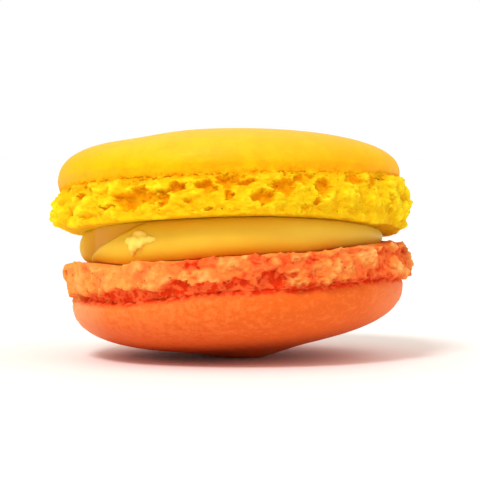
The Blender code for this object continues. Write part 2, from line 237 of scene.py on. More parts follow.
    # Hollows: each is an ellipse with a ragged edge and steep walls, and the deepest at a place counts
    holes = add("GeometryNodeObjectInfo", given["Hollows"]).outputs["Geometry"]
    count = add("GeometryNodeAttributeDomainSize", holes)
    start = add("GeometryNodeRepeatInput")
    end = add("GeometryNodeRepeatOutput")
    start.pair_with_output(end)
    end.repeat_items.new("FLOAT", "Deepest")
    end.repeat_items.new("FLOAT", "Nearest")
    tree.links.new(count.outputs["Point Count"], start.inputs["Iterations"])
    height = add("ShaderNodeSeparateXYZ", position).outputs["Z"]
    share = add("ShaderNodeMath", height, given["Foot Height"], operation="DIVIDE")
    tearing = add("ShaderNodeTexNoise", wandered, named={"Scale": 1 / 2.8, "Detail": 4.0, "Roughness": 0.6})
    near_crust = add("ShaderNodeMapRange", share, 0.2, 0.8, given["Tear Low"], 0.04)
    tearing = add("ShaderNodeMath", tearing, near_crust, operation="ADD")
    tear_end = add("ShaderNodeMath", given["Tear Edge"], 0.12, operation="ADD")
    tearing = add("ShaderNodeMapRange", tearing, given["Tear Edge"], tear_end, 0.0, given["Tear Depth"],
                  interpolation_type="SMOOTHSTEP")
    ragged = add("ShaderNodeTexNoise", place, named={"Scale": 1 / 1.4, "Detail": 4.0, "Roughness": 0.62})
    undercut = add("ShaderNodeMath", ragged, 0.5, operation="SUBTRACT")
    undercut = add("ShaderNodeMath", undercut, 0.7, share, operation="MULTIPLY_ADD")
    undercut_to = add("ShaderNodeMath", undercut_from, 0.07, operation="ADD")
    undercut = add("ShaderNodeMapRange", undercut, undercut_from, undercut_to, 0.0, given["Undercut Depth"],
                   interpolation_type="SMOOTHSTEP")
    tearing = add("ShaderNodeMath", tearing, undercut, operation="MAXIMUM")
    tree.links.new(tearing.outputs[0], start.inputs["Deepest"])
    start.inputs["Nearest"].default_value = 10.0
    spread = add("GeometryNodeInputNamedAttribute", "spread", data_type="FLOAT_VECTOR")
    centre = add("GeometryNodeSampleIndex", holes, position, start, data_type="FLOAT_VECTOR")
    centre = add("ShaderNodeSeparateXYZ", centre)
    extent = add("GeometryNodeSampleIndex", holes, spread, start, data_type="FLOAT_VECTOR")
    extent = add("ShaderNodeSeparateXYZ", extent)
    wander_parts = add("ShaderNodeSeparateXYZ", wander)
    around = add("ShaderNodeMath", turn, centre, operation="SUBTRACT")
    around = add("ShaderNodeMath", around, math.pi, -math.pi, operation="WRAP")
    along = add("ShaderNodeMath", around, given["Foot Radius"], operation="MULTIPLY")
    along = add("ShaderNodeMath", wander_parts, HOLLOW_STRAY, along, operation="MULTIPLY_ADD")
    along = add("ShaderNodeMath", along, extent, operation="DIVIDE")
    up = add("ShaderNodeMath", height, centre.outputs["Y"], operation="SUBTRACT")
    up = add("ShaderNodeMath", wander_parts.outputs["Z"], HOLLOW_STRAY, up, operation="MULTIPLY_ADD")
    up = add("ShaderNodeMath", up, extent.outputs["Y"], operation="DIVIDE")
    off = add("ShaderNodeCombineXYZ", along, up)
    off = add("ShaderNodeVectorMath", off, operation="LENGTH").outputs["Value"]
    steepness = add("ShaderNodeMapRange", up, -0.7, 0.5, 1.1, 0.6)
    bottom = add("ShaderNodeMath", extent.outputs["Z"], 0.8, operation="MULTIPLY")
    depth = add("ShaderNodeMapRange", off, 1.5, steepness, 0.0, bottom, interpolation_type="SMOOTHSTEP")
    deepest = add("ShaderNodeMath", start.outputs["Deepest"], depth, operation="MAXIMUM")
    tree.links.new(deepest.outputs[0], end.inputs["Deepest"])
    nearest = add("ShaderNodeMath", start.outputs["Nearest"], off, operation="MINIMUM")
    tree.links.new(nearest.outputs[0], end.inputs["Nearest"])
    hollow = end.outputs["Deepest"]
    torn_rim = add("ShaderNodeMapRange", end.outputs["Nearest"], 2.3, 1.6, 0.0, 1.0)
    inside = add("ShaderNodeMapRange", end.outputs["Nearest"], 1.2, 1.5, 0.0, 1.0)
    torn_rim = add("ShaderNodeMath", torn_rim, inside, operation="MULTIPLY")
    relief = add("ShaderNodeMath", torn_rim, given["Hollow Rims"], relief, operation="MULTIPLY_ADD")
    relief = add("ShaderNodeMath", relief, lumpiness, operation="MULTIPLY")

    # What the finish needs to know of the form: how deep a place is torn, for painted shade in its hollows
    # and pores, with painted shade added in creases, cracks and under the crust's lip; how high the foam
    # rises, for a painted highlight; and where the crust is
    sunk = add("ShaderNodeMapRange", hollow, 0.02 * MM, 0.75 * MM, 0.0, 1.0)
    sunk = add("ShaderNodeMath", pore, 0.7, sunk, operation="MULTIPLY_ADD")
    smoother = add("ShaderNodeMapRange", sunk, 0.2, 1.0, 1.0, given["Hollow Roughness"])
    relief = add("ShaderNodeMath", relief, smoother, operation="MULTIPLY")
    # Painted shade: creases between the round lumps, cracks between the blocks and a band under the crust's
    # lip
    crease = add("ShaderNodeMapRange", lumps, 0.38, 0.75, 0.0, 0.3)
    open_cracks = add("ShaderNodeMapRange", lumpiness, 0.6, 1.0, 0.0, given["Crack Share"])
    crack = add("ShaderNodeMapRange", blocks, 0.52, 0.62, 0.0, open_cracks, interpolation_type="SMOOTHSTEP")
    shade_under_lip = add("ShaderNodeMapRange", share, 0.84, 0.94, 0.0, 0.35)
    for deeper in (crease, crack, shade_under_lip):
        sunk = add("ShaderNodeMath", sunk, deeper, operation="ADD", use_clamp=True)
    # Painted highlight: the foam is painted paler the higher it rises
    pale = add("ShaderNodeMapRange", relief, 0.0, 0.45 * MM, 0.0, 1.0)
    above_lip = add("ShaderNodeMath", height, given["Foot Height"], operation="SUBTRACT")
    crust_edge = add("ShaderNodeMapRange", ragged, 0.3, 0.7, given["Crust Wander"], 0.0, clamp=False)
    above_edge = add("ShaderNodeMath", above_lip, crust_edge, operation="SUBTRACT")
    crust = add("ShaderNodeMapRange", above_edge, -0.2 * MM, 0.05 * MM, 0.0, 1.0)
    for name, values in (("deep", sunk), ("raised", pale), ("crust", crust)):
        body = add("GeometryNodeStoreNamedAttribute", body, None, name, values, data_type="FLOAT",
                   domain="POINT")

    # Across the surface: lumps and grain along its normal, hollows and pores straight in
    across = add("ShaderNodeMath", relief, torn, operation="MULTIPLY")
    normal = add("GeometryNodeInputNormal")
    raised = add("ShaderNodeVectorMath", normal, named={"Scale": across}, operation="SCALE")
    flat_out = add("ShaderNodeVectorMath", position, (1, 1, 0), operation="MULTIPLY")
    out = add("ShaderNodeVectorMath", flat_out, operation="NORMALIZE")
    dent = add("ShaderNodeMath", pore, given["Pore Depth"], hollow, operation="MULTIPLY_ADD")
    lean = add("ShaderNodeMath", share, 0.3, operation="SUBTRACT")
    shift = add("ShaderNodeMath", side, given["Foot Shift"], operation="MULTIPLY")
    lean = add("ShaderNodeMath", lean, foot_lean, shift, operation="MULTIPLY_ADD")
    foot_push = add("ShaderNodeMath", lean, dent, operation="SUBTRACT")
    foot_push = add("ShaderNodeMath", foot_push, torn, operation="MULTIPLY")
    swell = add("ShaderNodeTexNoise", place, named={"Scale": 1 / 9.0, "Detail": 1.0})
    swell = add("ShaderNodeMapRange", swell, 0.25, 0.75, -1.0, 1.0, clamp=False)
    swell = add("ShaderNodeMath", swell, given["Crust Swell"], operation="MULTIPLY")
    grain = add("ShaderNodeTexNoise", place, named={"Scale": 1 / 0.9, "Detail": 3.0, "Roughness": 0.65})
    grain = add("ShaderNodeMapRange", grain, 0.25, 0.75, -1.0, 1.0, clamp=False)
    grain = add("ShaderNodeMath", grain, given["Crust Grain"], operation="MULTIPLY")
    below_crown = add("ShaderNodeMath", 1.0, rise, operation="SUBTRACT")
    dome_push = add("ShaderNodeMath", swell, below_crown, grain, operation="MULTIPLY_ADD")
    dome_push = add("ShaderNodeMath", dome_push, crust, operation="MULTIPLY")
    on_dome = add("FunctionNodeCompare", height, given["Foot Height"], operation="GREATER_EQUAL")
    dome_push = add("ShaderNodeMath", dome_push, on_dome, operation="MULTIPLY")
    push = add("ShaderNodeMath", foot_push, dome_push, operation="ADD")
    pushed = add("ShaderNodeVectorMath", out, named={"Scale": push}, operation="SCALE")
    offset = add("ShaderNodeVectorMath", raised, pushed, operation="ADD")

    # Up and down: shelf, rim and lip follow their courses, the foot's edges are ragged, and the dome leans
    far_from_base = add("FunctionNodeCompare", share, 0.5, operation="GREATER_THAN")
    wander_at = add("ShaderNodeMix", far_from_base, None, given["Rim Wander"], given["Lip Wander"])
    wander_at = add("ShaderNodeMath", wander_at, lip, operation="MULTIPLY")
    ragged = add("ShaderNodeMapRange", ragged, 0.25, 0.75, -1.0, 1.0, clamp=False)
    ragged = add("ShaderNodeMath", ragged, wander_at, operation="MULTIPLY")
    foot_share = add("ShaderNodeMath", share, 0.0, operation="MAXIMUM", use_clamp=True)
    near_lip = add("ShaderNodeMath", below_crown, 2.0, operation="POWER")
    course_share = add("ShaderNodeMath", foot_share, near_lip, operation="MULTIPLY")
    lift = add("ShaderNodeMath", lip_lift, course_share, ragged, operation="MULTIPLY_ADD")
    radius = add("ShaderNodeVectorMath", flat_out, operation="LENGTH").outputs["Value"]
    flat_to, shelf_to, rim_at = given["Flat Radius"], given["Shelf Radius"], given["Base Radius"]
    on_shelf = add("ShaderNodeMapRange", radius, flat_to, shelf_to, 0.0, 1.0)
    at_rim = add("ShaderNodeMapRange", radius, shelf_to, rim_at, 0.0, 1.0)
    at_rim = add("ShaderNodeMath", at_rim, 2.0, operation="POWER")
    near_base = add("ShaderNodeMath", 1.0, foot_share, operation="SUBTRACT")
    close_to_base = add("ShaderNodeMath", near_base, 4.0, operation="POWER")
    at_rim = add("ShaderNodeMath", at_rim, close_to_base, operation="MULTIPLY")
    on_shelf = add("ShaderNodeMath", on_shelf, near_base, operation="MULTIPLY")
    lift = add("ShaderNodeMath", rim_lift, at_rim, lift, operation="MULTIPLY_ADD")
    lift = add("ShaderNodeMath", shelf_lift, on_shelf, lift, operation="MULTIPLY_ADD")
    leaning = add("ShaderNodeMath", side, rise, operation="MULTIPLY")
    leaning = add("ShaderNodeMath", leaning, given["Dome Lean"], operation="MULTIPLY")
    lift = add("ShaderNodeMath", leaning, given["Dome Height"], lift, operation="MULTIPLY_ADD")
    peak = add("ShaderNodeCombineXYZ", given["Peak Offset"])
    squeeze = add("ShaderNodeCombineXYZ", 1.0, given["Peak Depth Share"], 1.0)
    from_peak = add("ShaderNodeVectorMath", flat_out, squeeze, operation="MULTIPLY")
    from_peak = add("ShaderNodeVectorMath", from_peak, peak, operation="DISTANCE").outputs["Value"]
    from_peak = add("ShaderNodeMath", from_peak, given["Peak Radius"], operation="DIVIDE")
    from_peak = add("ShaderNodeMath", from_peak, 2.0, operation="POWER")
    from_peak = add("ShaderNodeMath", from_peak, -1.0, operation="MULTIPLY")
    peak = add("ShaderNodeMath", from_peak, operation="EXPONENT")
    peak = add("ShaderNodeMath", peak, given["Peak Height"], operation="MULTIPLY")
    lift = add("ShaderNodeMath", peak, on_dome, lift, operation="MULTIPLY_ADD")
    lift = add("ShaderNodeCombineXYZ", 0.0, 0.0, lift)
    offset = add("ShaderNodeVectorMath", offset, lift, operation="ADD")
    body = add("GeometryNodeSetPosition", body, named={"Offset": offset})

    # Into place: the lower shell is mirrored, then each is tilted and pressed flat where the two feet meet
    upright = add("ShaderNodeCombineXYZ", 1.0, 1.0, given["Side"])
    mirrored = add("ShaderNodeVectorMath", position, upright, operation="MULTIPLY")
    body = add("GeometryNodeSetPosition", body, None, mirrored)
    inside_out = add("FunctionNodeCompare", given["Side"], 0.0, operation="LESS_THAN")
    body = add("GeometryNodeFlipFaces", body, inside_out)
    body = add("GeometryNodeTransform", body, given["Place"], given["Tilt"])
    middle = add("ShaderNodeVectorMath", position, given["Parting Slope"], operation="DOT_PRODUCT")
    middle = add("ShaderNodeMath", middle.outputs["Value"], given["Parting Height"], operation="ADD")
    half_gap = add("ShaderNodeMath", given["Parting Gap"], 0.5, operation="MULTIPLY")
    limit = add("ShaderNodeMath", middle, given["Side"], half_gap, operation="MULTIPLY_ADD")
    x, y, z = add("ShaderNodeSeparateXYZ", position).outputs
    reach = add("ShaderNodeMath", z, given["Side"], operation="MULTIPLY")
    reach = add("ShaderNodeMath", reach, limit, operation="MAXIMUM")
    reach = add("ShaderNodeMath", reach, given["Side"], operation="MULTIPLY")
    reach = add("ShaderNodeMath", reach, 0.0, operation="MAXIMUM")
    pressed = add("ShaderNodeCombineXYZ", x, y, reach)
    body = add("GeometryNodeSetPosition", body, None, pressed)
    body = add("GeometryNodeSetShadeSmooth", body)
    body = add("GeometryNodeRealizeInstances", body)
    body = add("GeometryNodeSetMaterial", body, None, given["Finish"])
    add("NodeGroupOutput", body)
    return tree


def shell_outline(sizes):
    """(radius, height, torn, rise, lip) from the crown down the crust and foot to the middle of the base."""
    lip_radius, foot_height = sizes["Lip Radius"], sizes["Foot Height"]
    rows = []
    for row in range(DOME_ROWS, 0, -1):
        rise = math.sin(math.pi / 2 * row / DOME_ROWS)
        radius = lip_radius * math.sqrt(max(0.0, 1 - rise ** (1 / sizes["dome_power"])))
        above_lip = rise * sizes["Dome Height"]
        torn = LIP_TORN * max(0.0, 1 - above_lip / sizes["torn_crust"])
        near_lip = max(0.0, 1 - above_lip / LIP_REACH)
        rows.append((radius, foot_height + above_lip, torn, rise, near_lip))
    for row in range(LIP_ROWS):
        angle = math.pi / 2 * row / (LIP_ROWS - 1)
        radius = lip_radius - sizes["lip_roll"] * (1 - math.cos(angle))
        rows.append((radius, foot_height - sizes["lip_roll"] * math.sin(angle), LIP_TORN, 0.0, 1.0))
    for row in range(FOOT_ROWS, -1, -1):
        share = NECK_SHARE * row / FOOT_ROWS
        round_share = row / FOOT_ROWS
        straight = sizes["Base Radius"] + (sizes["neck_radius"] - sizes["Base Radius"]) * round_share
        swell = math.sin(math.pi * round_share ** sizes["foot_skew"]) ** sizes["foot_fullness"]
        radius = straight + (sizes["Foot Radius"] - straight) * swell
        torn = min(1.0, 0.3 + 5 * round_share)
        near_lip = max(0.0, 1 - (1 - round_share) * 4, 1 - 5 * round_share)
        rows.append((radius, foot_height * share, torn, 0.0, near_lip))
    for row in range(SHOULDER_ROWS - 1, 0, -1):
        outward = row / SHOULDER_ROWS
        radius = sizes["Base Radius"] * (SHELF_SHARE + (1 - SHELF_SHARE) * outward)
        rows.append((radius, 0.0, 0.3 * outward, 0.0, outward))
    for row in range(BASE_ROWS - 1, -1, -1):
        rows.append((sizes["Base Radius"] * SHELF_SHARE * row / (BASE_ROWS - 1), 0.0, 0.0, 0.0, 0.0))
    return rows


def helper_object(name, places, attribute, values, edges=()):
    """Loose points with a vector attribute, which the tree reads by their number."""
    mesh = bpy.data.meshes.new(name)
    mesh.from_pydata(places, edges, [])
    layer = mesh.attributes.new(attribute, "FLOAT_VECTOR", "POINT")
    layer.data.foreach_set("vector", np.array(values, np.float32).ravel())
    helper = bpy.data.objects.new(name, mesh)
    bpy.context.scene.collection.objects.link(helper)
    return helper


BACK_HOLLOWS = 46
# Between which values a hollow at the back lies, column by column, but for its depth
BACK_SPANS = ((68, 292), (0.4, 4.9), (0.35, 1.3), (0.3, 0.8))
# How far each column of the foot's course strays by chance round the back, every so many degrees
BACK_STRAYS = (0.3, 0.3, 0.25, 0.07, 0.2, 0.2)
BACK_STEP_DEG = 15


def all_hollows(given, seed, depths):
    """The hollows that show at the front, and seeded ones of the same kind round the sides and back."""
    draw = random.Random(seed)
    return given + [[draw.uniform(*span) for span in (*BACK_SPANS, depths)] for _ in range(BACK_HOLLOWS)]


def foot_course(seen, seed):
    """A course's columns at each step of the turn: as seen at the front, drawn by chance round the back."""
    draw = random.Random(seed)
    (start, *first), (end, *last) = seen[0], seen[-1]
    knots = list(seen)
    for turn in range(int(end) + BACK_STEP_DEG, int(start) + 350, BACK_STEP_DEG):
        share = (turn - end) / (start + 360 - end)
        chance = [draw.uniform(-stray, stray) for stray in BACK_STRAYS]
        knots.append((turn, *[b + (a - b) * share + c for a, b, c in zip(first, last, chance)]))
    turns = np.arange(TURN_STEPS + 1) * 360 / TURN_STEPS
    knots = np.array(knots)
    soft = np.hanning(11) / np.hanning(11).sum()
    found = []
    for column in knots.T[1:]:
        steps = np.interp(turns, knots[:, 0], column, period=360)
        found.append(np.convolve(np.concatenate((steps[-6:-1], steps, steps[1:6])), soft, "valid"))
    return np.array(found).T


def placing(sizes):
    """How a shell is tilted and moved to its place."""
    turn = Matrix.Rotation(math.radians(sizes["pitch_deg"]), 4, "X")
    turn = turn @ Matrix.Rotation(math.radians(sizes["roll_deg"]), 4, "Y")
    return Matrix.Translation(sizes["Place"]) @ turn


def base_plane(sizes):
    """(height over the origin, slope towards x, slope towards y) of a shell's flat base."""
    normal = placing(sizes).to_3x3() @ Vector((0.0, 0.0, 1.0))
    slope = Vector((-normal.x / normal.z, -normal.y / normal.z, 0.0))
    return sizes["Place"].z - slope.dot(sizes["Place"]), slope


def make_shell(name, sizes, hollows, course, finish):
    """One baked shell as a plain mesh, from its sizes."""
    rows = shell_outline(sizes)
    outline = helper_object("outline", [(0.0, -r, h) for r, h, *_ in rows], "band", [row[2:] for row in rows],
                            [(i, i + 1) for i in range(len(rows) - 1)])
    torn = all_hollows(hollows, int(sizes["Seed"]), sizes["hollow_depths_mm"])
    holes = helper_object("hollows", [(math.radians(az), up * MM, 0.0) for az, up, *_ in torn], "spread",
                          [(w * MM, h * MM, d * MM) for _, _, w, h, d in torn])
    course_mm = helper_object("course", course[:, :3] * MM, "form", course[:, 3:] * (1.0, MM, 1.0))
    (low, low_slope), (high, high_slope) = base_plane(LOWER), base_plane(UPPER)
    inputs = {**sizes, "Outline": outline, "Hollows": holes, "Rows": len(rows), "Steps": TURN_STEPS,
              "Course": course_mm, "Flat Radius": sizes["Base Radius"] * FLAT_SHARE,
              "Shelf Radius": sizes["Base Radius"] * SHELF_SHARE,
              "Tilt": placing(sizes).to_euler(), "Parting Height": (low + high) / 2,
              "Parting Slope": (low_slope + high_slope) / 2, "Parting Gap": PARTING_GAP, "Finish": finish}
    tree = baked_shell_tree()
    maker = bpy.data.objects.new(name, bpy.data.meshes.new(name))
    bpy.context.scene.collection.objects.link(maker)
    modifier = maker.modifiers.new("baked shell", "NODES")
    modifier.node_group = tree
    for socket in tree.interface.items_tree:
        if socket.in_out == "INPUT":
            modifier[socket.identifier] = inputs[socket.name]
    bpy.context.view_layer.update()
    mesh = bpy.data.meshes.new_from_object(maker.evaluated_get(bpy.context.evaluated_depsgraph_get()))
    maker.modifiers.remove(modifier)
    maker.data = mesh
    for helper in (outline, holes, course_mm):
        bpy.data.objects.remove(helper)
    return maker


LOWER = {
    "Side": -1.0,
    "Seed": 440.0,
    "Lip Radius": 20.5 * MM,
    "Foot Radius": 21.2 * MM,
    "Foot Height": 4.35 * MM,
    "Foot Shift": 0.0,
    "Rim Wander": 0.6 * MM,
    "Crust Wander": 0.9 * MM,
    "Lip Wander": 0.4 * MM,
    "Undercut Depth": 0.9 * MM,
    "Lobes": 0.4 * MM,
    "Crack Share": 0.65,
    "Broad Lumps": 0.2 * MM,
    "Round Lumps": 0.14 * MM,
    "Small Lumps": 0.08 * MM,
    "Hollow Rims": 0.1 * MM,
    "Hollow Roughness": 0.55,
    "Pore Depth": 0.3 * MM,
    "Tear Depth": 0.3 * MM,
    "Tear Edge": 0.56,
    "Tear Low": 0.0,
    "Dome Height": 7.45 * MM,
    "Dome Lean": -0.02,
    "Peak Height": 1.1 * MM,
    "Peak Radius": 5.0 * MM,
    "Peak Offset": 1.0 * MM,
    "Peak Depth Share": 1.0,
    "Crust Swell": 0.15 * MM,
    "Crust Grain": 0.09 * MM,
    "Place": Vector((0.55 * MM, 0.0, 12.56 * MM)),
    "roll_deg": -3.7,
    "pitch_deg": -1.9,
    "lip_roll": 0.08 * MM,
    "neck_radius": 20.9 * MM,
    "torn_crust": 0.9 * MM,
    "hollow_depths_mm": (0.3, 1.0),
    "Base Radius": 21.0 * MM,
    "foot_fullness": 0.4,
    "foot_skew": 1.0,
    "dome_power": 0.37,
}
# The upper shell, where its sizes aren't the lower one's
UPPER = {
    **LOWER,
    "Side": 1.0,
    "Seed": 160.0,
    "Lip Radius": 21.1 * MM,
    "Foot Radius": 21.68 * MM,
    "Foot Height": 5.6 * MM,
    "Foot Shift": 0.25 * MM,
    "Rim Wander": 0.2 * MM,
    "Lip Wander": 0.45 * MM,
    "Undercut Depth": 0.6 * MM,
    "Lobes": 0.52 * MM,
    "Crack Share": 0.2,
    "Broad Lumps": 0.3 * MM,
    "Small Lumps": 0.1 * MM,
    "Hollow Rims": 0.14 * MM,
    "Hollow Roughness": 0.25,
    "Tear Depth": 0.6 * MM,
    "Tear Edge": 0.57,
    "Tear Low": -0.14,
    "Dome Height": 6.3 * MM,
    "Dome Lean": 0.035,
    "Peak Height": -0.55 * MM,
    "Peak Radius": 4.2 * MM,
    "Peak Offset": -10.5 * MM,
    "Peak Depth Share": 0.3,
    "Crust Grain": 0.012 * MM,
    "Place": Vector((-0.25 * MM, 0.0, 15.45 * MM)),
    "roll_deg": -0.2,
    "pitch_deg": -7.6,
    "neck_radius": 21.3 * MM,
    "torn_crust": 1.1 * MM,
    "hollow_depths_mm": (0.5, 1.3),
    "foot_fullness": 0.85,
    "foot_skew": 0.8,
    "dome_power": 0.29,
}


def baked_meringue(name, crust, crust_mottle_and_shade, crown_painted_light, crown_painted_light_heights, left_end_painted_light, right_end_painted_light, foot, foot_mottle_and_shade, ridge_highlight,
                   hollow, hollow_shade_pale, pore, grain_size, grain_depth):
    """Baked almond meringue: a dry satin skin with a fine grain over open, matt foam that light goes into."""
    material = bpy.data.materials.new(name)
    material.use_nodes = True
    tree = material.node_tree
    add = partial(add_node, tree)
    shader = tree.nodes["Principled BSDF"]
    place = add("ShaderNodeTexCoord").outputs["Object"]
    place = add("ShaderNodeVectorMath", place, TO_MM, operation="MULTIPLY")
    x, _, z = add("ShaderNodeSeparateXYZ", place).outputs
    deep, skin, raised = [add("ShaderNodeAttribute", attribute_name=stored).outputs["Fac"]
                          for stored in ("deep", "crust", "raised")]

    # The skin is mottled, and painted darker towards the right, as painted shade on the side away from the
    # main light. Its crown's colour is a painted highlight on the yellow crest and painted shade on the
    # orange underside, and its two ends have their own colours of painted light, mostly a paler painted sheen
    # where the skin is seen edge-on
    painted_shade_right = add("ShaderNodeMapRange", x, -22.0, 12.0, 0.0, 1.0, interpolation_type="SMOOTHSTEP")
    lit_left_share = add("ShaderNodeMapRange", painted_shade_right, 0.0, 1.0, 1.0, 0.6)
    crown_painted_light_share = add("ShaderNodeMapRange", z, *crown_painted_light_heights, 0.0, 1.0)
    crown_painted_light_share = add("ShaderNodeMath", crown_painted_light_share, lit_left_share, operation="MULTIPLY")
    mottle = add("ShaderNodeTexNoise", place,
                 named={"Scale": 1 / grain_size, "Detail": 4.0, "Roughness": 0.65})
    mottle = add("ShaderNodeMapRange", mottle, 0.38, 0.62, -0.55, 0.55)
    mottle = add("ShaderNodeMath", mottle, painted_shade_right, operation="ADD", use_clamp=True)
    at_left = add("ShaderNodeMapRange", x, -14.5, -20.5, 0.0, 0.75)
    at_right = add("ShaderNodeMapRange", x, 15.5, 21.0, 0.0, 0.75)
    crust_colour = linear(crust)
    for share, over in ((mottle, crust_mottle_and_shade), (crown_painted_light_share, crown_painted_light), (at_left, left_end_painted_light),
                        (at_right, right_end_painted_light)):
        crust_colour = add("ShaderNodeMix", share, named={6: crust_colour, 7: linear(over)},
                           data_type="RGBA").outputs[2]

    # The foam is mottled and painted darker towards the right like the skin, with a painted highlight on its
    # ridges, painted shade deep in its hollows, creases and cracks and under the crust's lip, and pores
    # pricked in as dots of painted shade
    depths = add("ShaderNodeTexNoise", place, named={"Scale": 1 / 0.8, "Detail": 3.0})
    depths = add("ShaderNodeMapRange", depths, 0.43, 0.58, 0.0, 1.0)
    hollow_shade_colour = add("ShaderNodeMix", depths, named={6: linear(hollow), 7: linear(hollow_shade_pale)},
                        data_type="RGBA").outputs[2]
    cells = add("ShaderNodeTexVoronoi", place, named={"Scale": 1 / 0.9})
    chance = add("ShaderNodeSeparateXYZ", cells.outputs["Color"])
    size = add("ShaderNodeMapRange", chance, 0.6, 1.0, 0.0, 0.19)
    inside = add("ShaderNodeMath", size, cells, operation="SUBTRACT")
    pore_shade_dots = add("ShaderNodeMapRange", inside, 0.0, 0.04, 0.0, 0.85)
    colour = linear(foot)
    for share, over in ((mottle, linear(foot_mottle_and_shade)), (raised, linear(ridge_highlight)), (deep, hollow_shade_colour),
                        (pore_shade_dots, linear(pore)), (skin, crust_colour)):
        colour = add("ShaderNodeMix", share, named={6: colour, 7: over}, data_type="RGBA").outputs[2]
    tree.links.new(colour, shader.inputs["Base Color"])

    roughness = add("ShaderNodeMapRange", skin, 0.0, 1.0, 0.8, 0.45)
    tree.links.new(roughness.outputs[0], shader.inputs["Roughness"])
    grain = add("ShaderNodeTexNoise", place, named={"Scale": 1 / 0.3, "Detail": 3.0})
    grain_depth = add("ShaderNodeMapRange", skin, 0.0, 1.0, 0.25 * MM, grain_depth)
    bump = add("ShaderNodeBump", named={"Strength": 0.5, "Distance": grain_depth, "Height": grain})
    tree.links.new(bump.outputs[0], shader.inputs["Normal"])
    shader.inputs["IOR"].default_value = 1.45
    shader.inputs["Specular IOR Level"].default_value = 0.08
    shader.inputs["Subsurface Weight"].default_value = 0.25
    shader.inputs["Subsurface Radius"].default_value = (1.0, 0.5, 0.15)
    shader.inputs["Subsurface Scale"].default_value = 0.6 * MM
    return material


# Dried to a matt, grainy skin, painted darker at the underside as painted shade and paler at its ends as
# painted sheen. The foam under it is painted bright where it rises, a painted highlight, and deep red where
# it is torn open, painted shade
orange_finish = baked_meringue(
    "baked_orange_meringue", crust="#f87e36", crust_mottle_and_shade="#e9681e", crown_painted_light="#dc4c10", crown_painted_light_heights=(6.0, 1.5),
    left_end_painted_light="#ffb67e", right_end_painted_light="#fb8a50", foot="#f6a048", foot_mottle_and_shade="#ea8438", ridge_highlight="#fab062",
    hollow="#e23a0e", hollow_shade_pale="#f66c34", pore="#a83208", grain_size=0.8, grain_depth=0.35 * MM)
lower_course = foot_course(LOWER_COURSE, 7)
lower_shell = make_shell("lower_macaron_shell", LOWER, LOWER_HOLLOWS, lower_course, orange_finish)
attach(lower_shell, "root")
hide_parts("lower_shell")

# Filling
# Passion fruit cream, piped soft and set: smooth, satin and slightly see-through. It was pressed out to a
# round edge between the bases, and at its front left a piece came off and left a wall over a slanting ledge.

# Columns as for the lower shell, of which the last three are the same all round
UPPER_COURSE = [(*row, 0.93, 0.0, 1.0) for row in (
    (-110, 0.00, 0.90, -0.90),
    (-90, -0.05, 0.90, -1.10),
    (-74, -0.25, 0.35, -1.00),
    (-62, -0.25, -0.15, -0.85),
    (-43, -0.24, -0.25, -0.90),
    (-20, -0.13, -0.20, -1.05),
    (-2, 0.02, -0.15, -0.85),
    (16, 0.18, -0.15, -0.55),
    (35, 0.18, -0.20, -0.28),
    (52, 0.10, -0.30, 0.05),
    (74, -0.02, -0.10, 0.43),
    (90, -0.02, 0.05, 0.50),
    (105, -0.05, 0.10, 0.50),
)]
CREAM_RADIUS = 18.7 * MM
CREAM_BULGE_TO_GAP = 0.36
CREAM_STEPS = 360
CREAM_BULGE_ROWS = 44
CREAM_FACE_ROWS = 14
CREAM_GRIP = 0.04 * MM
CREAM_WANDER = 0.25 * MM
# The ledge runs from the first place to the second: degrees from the front, and height. It fades in ahead of
# its start, over this share of its length, and ends a little past its end
LEDGE_FROM = (-69.0, 12.2 * MM)
LEDGE_TO = (-33.0, 17.0 * MM)
LEDGE_FADE = 1 / 3.5
LEDGE_END = 1.1
LEDGE_EDGE = 0.4 * MM
WALL_RADIUS = 17.35 * MM


def cream_faces(x, y):
    """Heights of the two bases over a place, a hair inside each, so that no gap shows."""
    heights = []
    for sizes, course in ((LOWER, lower_course), (UPPER, upper_course)):
        height, slope = base_plane(sizes)
        off = Vector((x, y)) - sizes["Place"].to_2d()
        step = round(math.atan2(off.x, -off.y) / math.tau * TURN_STEPS) % TURN_STEPS
        on_shelf = (off.length / sizes["Base Radius"] - FLAT_SHARE) / (SHELF_SHARE - FLAT_SHARE)
        lift = course[step][0] * MM * min(1.0, max(0.0, on_shelf)) * sizes["Side"]
        heights.append(height + slope.x * x + slope.y * y + lift)
    low, high = heights
    middle = (low + high) / 2
    return min(low - CREAM_GRIP, middle - CREAM_GRIP), max(high + CREAM_GRIP, middle + CREAM_GRIP)


def cream_point(turn, share, bulge_share, side):
    """A place on the cream, and how deep it is cut, from its turn, shares of face and bulge, and height."""
    out = Vector((math.sin(turn), -math.cos(turn)))
    reach = CREAM_RADIUS + CREAM_WANDER * noise.noise(Vector((out.x * 1.7, out.y * 1.7, 5.0)))
    low, high = cream_faces(*out * reach)
    bulge = (high - low) * CREAM_BULGE_TO_GAP
    x, y = out * ((reach - bulge) * share + bulge * bulge_share)
    low, high = cream_faces(x, y)
    z = (low + high) / 2 + side * (high - low) / 2
    degrees = (math.degrees(turn) + 180) % 360 - 180
    along = (degrees - LEDGE_FROM[0]) / (LEDGE_TO[0] - LEDGE_FROM[0])
    over = (z - LEDGE_FROM[1] - along * (LEDGE_TO[1] - LEDGE_FROM[1])) / LEDGE_EDGE
    cut = min(1.0, max(0.0, over)) * min(1.0, max(0.0, 1 + along / LEDGE_FADE)) * (along < LEDGE_END)
    beyond = max(0.0, math.hypot(x, y) - WALL_RADIUS)
    cut = cut * cut * (3 - 2 * cut)
    x, y = Vector((x, y)) - out * beyond * cut
    return (x, y, z), cut * (beyond > 0)


